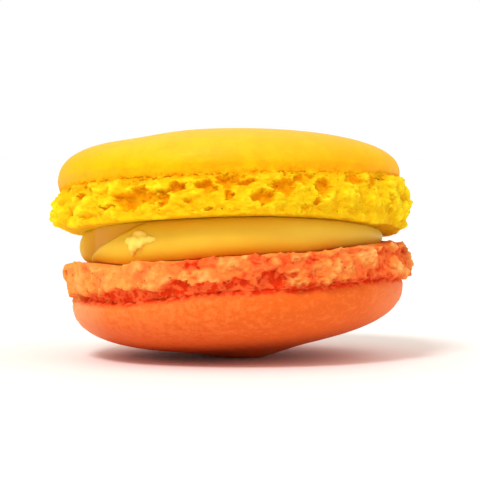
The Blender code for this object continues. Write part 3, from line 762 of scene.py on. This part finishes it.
upper_course = foot_course(UPPER_COURSE, 8)
cream_rows = [(row / CREAM_FACE_ROWS, 0.0, 1.0) for row in range(1, CREAM_FACE_ROWS)]
for row in range(CREAM_BULGE_ROWS + 1):
    angle = math.pi * row / CREAM_BULGE_ROWS
    cream_rows.append((1.0, math.sin(angle), math.cos(angle)))
cream_rows += [(share, 0.0, -side) for share, _, side in reversed(cream_rows[:CREAM_FACE_ROWS - 1])]
cream_points = [cream_point(0.0, 0.0, 0.0, 1.0), cream_point(0.0, 0.0, 0.0, -1.0)]
for row in cream_rows:
    cream_points += [cream_point(math.tau * step / CREAM_STEPS, *row) for step in range(CREAM_STEPS)]
cream_quads = []
for step in range(CREAM_STEPS):
    after = (step + 1) % CREAM_STEPS
    last = 2 + (len(cream_rows) - 1) * CREAM_STEPS
    cream_quads += [(0, 2 + step, 2 + after), (1, last + after, last + step)]
    for row in range(len(cream_rows) - 1):
        first = 2 + row * CREAM_STEPS
        below = first + CREAM_STEPS
        cream_quads.append((first + step, below + step, below + after, first + after))
cream_mesh = bpy.data.meshes.new("passion_fruit_cream")
cream_mesh.from_pydata([point for point, _ in cream_points], [], cream_quads)
cream_mesh.attributes.new("cut", "FLOAT", "POINT").data.foreach_set("value", [cut for _, cut in cream_points])
cream_mesh.shade_smooth()
cream = bpy.data.objects.new("passion_fruit_cream", cream_mesh)
bpy.context.scene.collection.objects.link(cream)

# Set cream: an even, satin surface that light goes a little way into. It is painted paler towards the right
# end, as painted light where the upper shell shades it, and more amber on the wall where it broke, as painted
# shade under the upper foot
cream_finish = bpy.data.materials.new("set_passion_fruit_cream")
cream_finish.use_nodes = True
tree = cream_finish.node_tree
add = partial(add_node, tree)
shader = tree.nodes["Principled BSDF"]
place = add("ShaderNodeTexCoord").outputs["Object"]
place = add("ShaderNodeVectorMath", place, TO_MM, operation="MULTIPLY")
cloud = add("ShaderNodeTexNoise", place, named={"Scale": 1 / 5.0, "Detail": 3.0})
cloud = add("ShaderNodeMapRange", cloud, 0.35, 0.7, 0.0, 1.0)
across = add("ShaderNodeSeparateXYZ", place)
# Painted light towards the right end; painted shade on the broken wall
painted_light_right = add("ShaderNodeMapRange", across, 2.0, 16.0, 0.0, 1.0)
cut = add("ShaderNodeAttribute", attribute_name="cut").outputs["Fac"]
colour = linear("#ecc836")
for share, over in ((cloud, "#eabf2d"), (painted_light_right, "#f1d649"), (cut, "#e2a900")):
    colour = add("ShaderNodeMix", share, named={6: colour, 7: linear(over)}, data_type="RGBA").outputs[2]
tree.links.new(colour, shader.inputs["Base Color"])
shader.inputs["Roughness"].default_value = 0.45
shader.inputs["Specular IOR Level"].default_value = 0.22
shader.inputs["IOR"].default_value = 1.45
shader.inputs["Subsurface Weight"].default_value = 0.4
shader.inputs["Subsurface Radius"].default_value = (1.0, 0.75, 0.3)
shader.inputs["Subsurface Scale"].default_value = 1.6 * MM
cream_mesh.materials.append(cream_finish)
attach(cream, "root")
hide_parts("filling")

# Crumb
# A flake of pale yellow meringue foam that came off the upper foot and clings to the soft cream, on the ledge
# of the broken place. Lobes are joined to one skin and roughened.
CREAM_SWELL_MM = 1.6
CREAM_MIDDLE_MM = 14.2
CREAM_HALF_HEIGHT_MM = 2.8
CRUMB_RADIUS_MM = 18.65
CRUMB_FLATNESS = 0.75
CRUMB_SKIN = 0.09 * MM
CRUMB_SMOOTHINGS = 8
CRUMB_ROUGHNESS = 0.08 * MM
CRUMB_GRAIN = 0.6 * MM
CRUMB_LOBES = [
    # across, height and radius in mm, as seen from the front
    (-11.05, 15.72, 0.48),
    (-10.55, 15.76, 0.50),
    (-10.10, 15.60, 0.42),
    (-11.20, 15.25, 0.42),
    (-11.80, 14.90, 0.60),
    (-11.20, 14.75, 0.80),
    (-11.35, 14.20, 0.68),
    (-11.45, 13.75, 0.45),
    (-11.45, 13.35, 0.28),
    (-10.60, 14.60, 0.65),
    (-10.05, 15.00, 0.60),
    (-9.40, 15.10, 0.50),
    (-8.90, 15.20, 0.34),
]
crumb_mesh = bmesh.new()
for across, height, radius in CRUMB_LOBES:
    outward = Vector((across, -math.sqrt(CRUMB_RADIUS_MM ** 2 - across ** 2))) / CRUMB_RADIUS_MM
    level = (height - CREAM_MIDDLE_MM) / CREAM_HALF_HEIGHT_MM
    reach = CREAM_RADIUS / MM - CREAM_SWELL_MM * (1 - math.sqrt(max(0.0, 1 - level ** 2)))
    flat = Matrix.Rotation(math.atan2(outward.y, outward.x), 4, "Z")
    flat = flat @ Matrix.Diagonal((CRUMB_FLATNESS, 1.0, 1.0, 1.0))
    at = Matrix.Translation(Vector((outward.x * reach, outward.y * reach, height)) * MM)
    bmesh.ops.create_icosphere(crumb_mesh, subdivisions=3, radius=radius * MM, matrix=at @ flat)
lobes_mesh = bpy.data.meshes.new("crumb_of_foam")
crumb_mesh.to_mesh(lobes_mesh)
crumb_mesh.free()
crumb = bpy.data.objects.new("crumb_of_foam", lobes_mesh)
bpy.context.scene.collection.objects.link(crumb)
joining = crumb.modifiers.new("one skin", "REMESH")
joining.mode = "VOXEL"
joining.voxel_size = CRUMB_SKIN
bpy.context.view_layer.update()
joined = bpy.data.meshes.new_from_object(crumb.evaluated_get(bpy.context.evaluated_depsgraph_get()))
crumb.modifiers.remove(joining)
crumb.data = joined
crumb_mesh = bmesh.new()
crumb_mesh.from_mesh(joined)
for _ in range(CRUMB_SMOOTHINGS):
    bmesh.ops.smooth_vert(crumb_mesh, verts=crumb_mesh.verts, factor=0.5, use_axis_x=True, use_axis_y=True,
                          use_axis_z=True)
for vertex, normal in [(v, v.normal.copy()) for v in crumb_mesh.verts]:
    vertex.co += normal * CRUMB_ROUGHNESS * noise.fractal(vertex.co / CRUMB_GRAIN, 1.0, 2.0, 3)
crumb_mesh.to_mesh(joined)
crumb_mesh.free()
joined.shade_smooth()
# Dry foam: pale and matt, with light soaking into its edges
crumb_finish = bpy.data.materials.new("pale_meringue_foam")
crumb_finish.use_nodes = True
shader = crumb_finish.node_tree.nodes["Principled BSDF"]
shader.inputs["Base Color"].default_value = linear("#fedd62")
shader.inputs["Roughness"].default_value = 0.75
shader.inputs["Specular IOR Level"].default_value = 0.15
shader.inputs["Subsurface Weight"].default_value = 0.3
shader.inputs["Subsurface Radius"].default_value = (1.0, 0.6, 0.2)
shader.inputs["Subsurface Scale"].default_value = 0.5 * MM
joined.materials.append(crumb_finish)
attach(crumb, "root")
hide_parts("filling")

# Upper shell
# The same kind of shell, yellow and the right way up. Its skin dried longer, so the dome is smooth and satin.
UPPER_HOLLOWS = [
    (-63.5, 1.5, 0.50, 0.85, 0.7),
    (-55.5, 3.6, 0.95, 0.40, 0.9),
    (-52.0, 1.0, 0.85, 0.50, 0.5),
    (-51.0, 4.2, 1.00, 0.45, 0.6),
    (-41.5, 1.9, 0.90, 0.20, 0.7),
    (-36.0, 2.8, 0.80, 0.60, 1.5),
    (-32.5, 2.5, 1.05, 0.95, 1.8),
    (-28.5, 3.3, 1.00, 0.80, 1.8),
    (-24.0, 2.9, 0.80, 0.70, 0.8),
    (-21.0, 1.5, 0.35, 0.25, 1.0),
    (-20.5, 2.4, 0.50, 0.85, 1.2),
    (-20.5, 3.7, 0.50, 0.35, 1.1),
    (-16.0, 4.0, 0.80, 0.60, 1.4),
    (-12.0, 1.8, 0.32, 0.38, 0.8),
    (-8.0, 1.8, 1.25, 0.85, 0.4),
    (-7.5, 4.1, 0.80, 0.60, 1.4),
    (-6.0, 1.2, 0.30, 0.40, 0.8),
    (-5.5, 3.3, 0.80, 0.30, 1.1),
    (0.5, 2.8, 0.45, 0.55, 1.2),
    (0.5, 4.5, 1.00, 0.80, 1.4),
    (6.0, 4.3, 0.90, 0.40, 1.2),
    (11.0, 2.2, 1.10, 0.75, 1.2),
    (17.5, 3.7, 1.20, 0.90, 1.3),
    (20.5, 5.3, 0.70, 0.30, 0.5),
    (23.5, 4.4, 0.65, 0.50, 0.9),
    (25.0, 0.8, 0.40, 0.30, 0.4),
    (29.0, 1.7, 0.40, 0.32, 0.8),
    (31.5, 3.7, 0.85, 1.00, 1.3),
    (44.5, 4.7, 1.15, 0.55, 1.0),
    (62.5, 2.6, 0.60, 0.95, 0.6),
]
# Dried longer, so its skin is smooth, with a soft sheen and hardly a grain, and a painted highlight makes its
# crest paler. The hollows of its foam are painted amber, as painted shade
yellow_finish = baked_meringue(
    "baked_yellow_meringue", crust="#fbbc00", crust_mottle_and_shade="#f5ac00", crown_painted_light="#fbc03c",
    crown_painted_light_heights=(24.0, 28.5), left_end_painted_light="#fbb400", right_end_painted_light="#f8be1c", foot="#f7c80c", foot_mottle_and_shade="#eac20c",
    ridge_highlight="#fadc1c", hollow="#efa000", hollow_shade_pale="#f6b204", pore="#b87000", grain_size=3.0,
    grain_depth=0.05 * MM)
upper_shell = make_shell("upper_macaron_shell", UPPER, UPPER_HOLLOWS, upper_course, yellow_finish)
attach(upper_shell, "root")
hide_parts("upper_shell")

# Floor, light and camera
# A plain white table in a bright, even studio, with one large soft light from the left that throws the shadow
# right.
FLOOR_REACH = 3.0
floor_mesh = bpy.data.meshes.new("floor")
floor_corners = [(x * FLOOR_REACH, y * FLOOR_REACH, 0.0) for x, y in ((-1, -1), (1, -1), (1, 1), (-1, 1))]
floor_mesh.from_pydata(floor_corners, [], [(0, 1, 2, 3)])
floor = bpy.data.objects.new("floor", floor_mesh)
bpy.context.scene.collection.objects.link(floor)
# Matt white laminate, which takes up a little of the orange from above
floor_finish = bpy.data.materials.new("white_table")
floor_finish.use_nodes = True
floor_shader = floor_finish.node_tree.nodes["Principled BSDF"]
floor_shader.inputs["Base Color"].default_value = linear("#f7f5f2")
floor_shader.inputs["Roughness"].default_value = 0.6
floor_shader.inputs["Specular IOR Level"].default_value = 0.2
floor_mesh.materials.append(floor_finish)

world = bpy.data.worlds.new("studio")
world.use_nodes = True
tree = world.node_tree
add = partial(add_node, tree)
direction = add("ShaderNodeTexCoord").outputs["Generated"]
upward = add("ShaderNodeSeparateXYZ", direction).outputs["Z"]
glow = add("ShaderNodeMapRange", upward, 0.0, 1.0, 0.6, 1.05)
seen = add("ShaderNodeLightPath").outputs["Is Camera Ray"]
strength = add("ShaderNodeMix", seen, None, glow, 1.0)
tree.links.new(strength.outputs[0], tree.nodes["Background"].inputs["Strength"])
warm = add("ShaderNodeMix", seen, named={6: (1.0, 0.94, 0.89, 1.0), 7: (1.0, 1.0, 1.0, 1.0)},
           data_type="RGBA")
tree.links.new(warm.outputs[2], tree.nodes["Background"].inputs["Color"])
bpy.context.scene.world = world

STUDIO_LIGHTS = {
    # direction that it comes from, strength, spread in degrees
    "main_light": (Vector((-0.37, -0.80, 1.0)), 1.77, 16),
    "right_fill": (Vector((0.8, -0.45, 0.8)), 0.24, 60),
}
for name, (comes_from, strength, spread) in STUDIO_LIGHTS.items():
    lamp = bpy.data.objects.new(name, bpy.data.lights.new(name, "SUN"))
    lamp.data.energy = strength
    lamp.data.angle = math.radians(spread)
    lamp.data.color = (0.97, 1.0, 1.03)
    lamp.rotation_euler = comes_from.to_track_quat("Z", "Y").to_euler()
    bpy.context.scene.collection.objects.link(lamp)

CAMERA_AT = Vector((1.17 * MM, -300 * MM, 26.5 * MM))
LOOKS_AT = Vector((1.17 * MM, 0.0, 14.4 * MM))
FRAME_WIDTH = 59.26 * MM
camera = bpy.data.objects.new("camera", bpy.data.cameras.new("camera"))
camera.data.sensor_width = 36.0
camera.data.lens = 36.0 * abs(CAMERA_AT.y) / FRAME_WIDTH
camera.data.clip_start = 0.01
camera.location = CAMERA_AT
camera.rotation_euler = (CAMERA_AT - LOOKS_AT).to_track_quat("Z", "Y").to_euler()
bpy.context.scene.collection.objects.link(camera)
bpy.context.scene.camera = camera
bpy.context.scene.view_settings.view_transform = "Standard"
